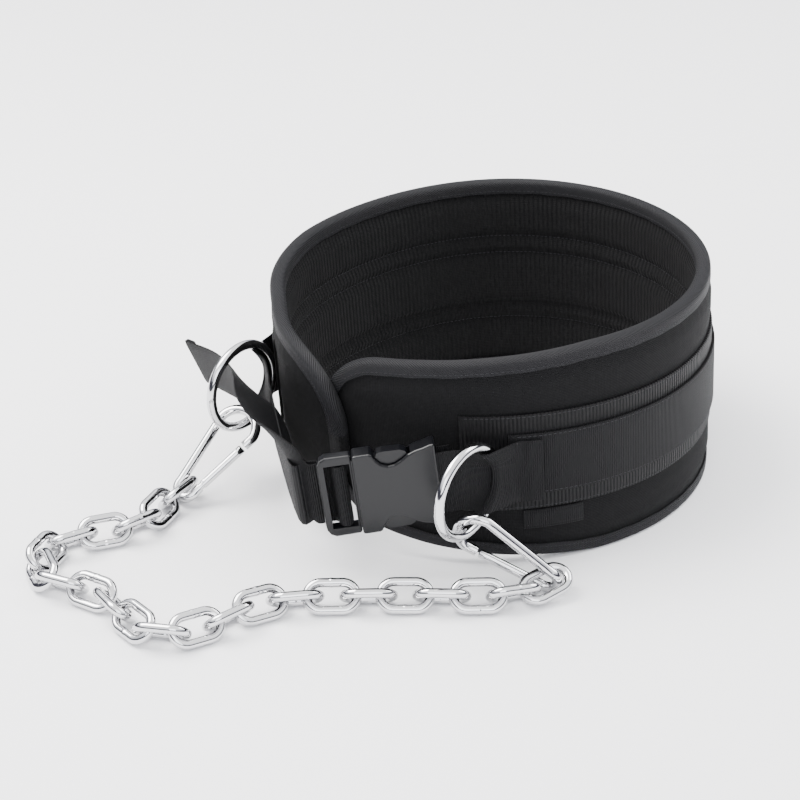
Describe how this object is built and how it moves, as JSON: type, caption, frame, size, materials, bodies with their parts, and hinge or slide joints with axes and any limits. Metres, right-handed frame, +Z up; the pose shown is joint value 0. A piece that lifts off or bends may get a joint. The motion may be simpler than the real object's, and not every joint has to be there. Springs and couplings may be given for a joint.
{
  "type": "dip belt",
  "caption": "Padded waist belt standing on its edge, buckled, with two rings, two snap hooks and a chain of oval links laid out in front to hold a weight",
  "frame": {"origin": "On the floor, below the middle of the whole object's bounding box", "axes": "+Z up out of the waist opening, -Y towards the buckle and the chain, +X towards the end of the belt with the buckle's socket half"},
  "size_m": [0.328, 0.5216, 0.158],
  "materials": {
    "black_cloth": "plain woven nylon",
    "black_mesh": "ribbed spacer mesh",
    "grey_tape": "twill binding tape",
    "black_webbing": "ribbed webbing",
    "black_plastic": "satin moulded",
    "bright_metal": "polished plating"
  },
  "bodies": {
    "belt": {"belt_pad": "black_cloth", "inner_lining": "black_mesh", "top_binding": "grey_tape", "bottom_binding": "grey_tape", "backing_band": "black_webbing", "main_strap": "black_webbing", "label_patch": "black_webbing", "buckle_strap": "black_webbing", "adjusting_strap": "black_webbing", "buckle_female": "black_plastic", "buckle_male": "black_plastic", "ring_left": "bright_metal", "ring_right": "bright_metal", "hook_left": "bright_metal", "hook_right": "bright_metal", "chain_link_01": "bright_metal", "chain_link_02": "bright_metal", "chain_link_03": "bright_metal", "chain_link_04": "bright_metal", "chain_link_05": "bright_metal", "chain_link_06": "bright_metal", "chain_link_07": "bright_metal", "chain_link_08": "bright_metal", "chain_link_09": "bright_metal", "chain_link_10": "bright_metal", "chain_link_11": "bright_metal", "chain_link_12": "bright_metal", "chain_link_13": "bright_metal", "chain_link_14": "bright_metal", "chain_link_15": "bright_metal", "chain_link_16": "bright_metal", "chain_link_17": "bright_metal", "chain_link_18": "bright_metal", "chain_link_19": "bright_metal", "chain_link_20": "bright_metal", "chain_link_21": "bright_metal", "chain_link_22": "bright_metal", "chain_link_23": "bright_metal"},
    "gate_left": {"gate_left": "bright_metal"},
    "gate_right": {"gate_right": "bright_metal"}
  },
  "joints": [
    {"name": "gate_left_hinge", "type": "hinge", "parent": "belt", "child": "gate_left", "pos_m": [-0.10514, -0.10164, 0.01662], "axis": [0.2383, -0.6153, 0.7514], "range_deg": [0, 24], "stiffness_Nm_per_rad": 0.02},
    {"name": "gate_right_hinge", "type": "hinge", "parent": "belt", "child": "gate_right", "pos_m": [0.13489, -0.0286, 0.00935], "axis": [-0.4121, 0.8792, 0.2393], "range_deg": [0, 24], "stiffness_Nm_per_rad": 0.02}
  ]
}
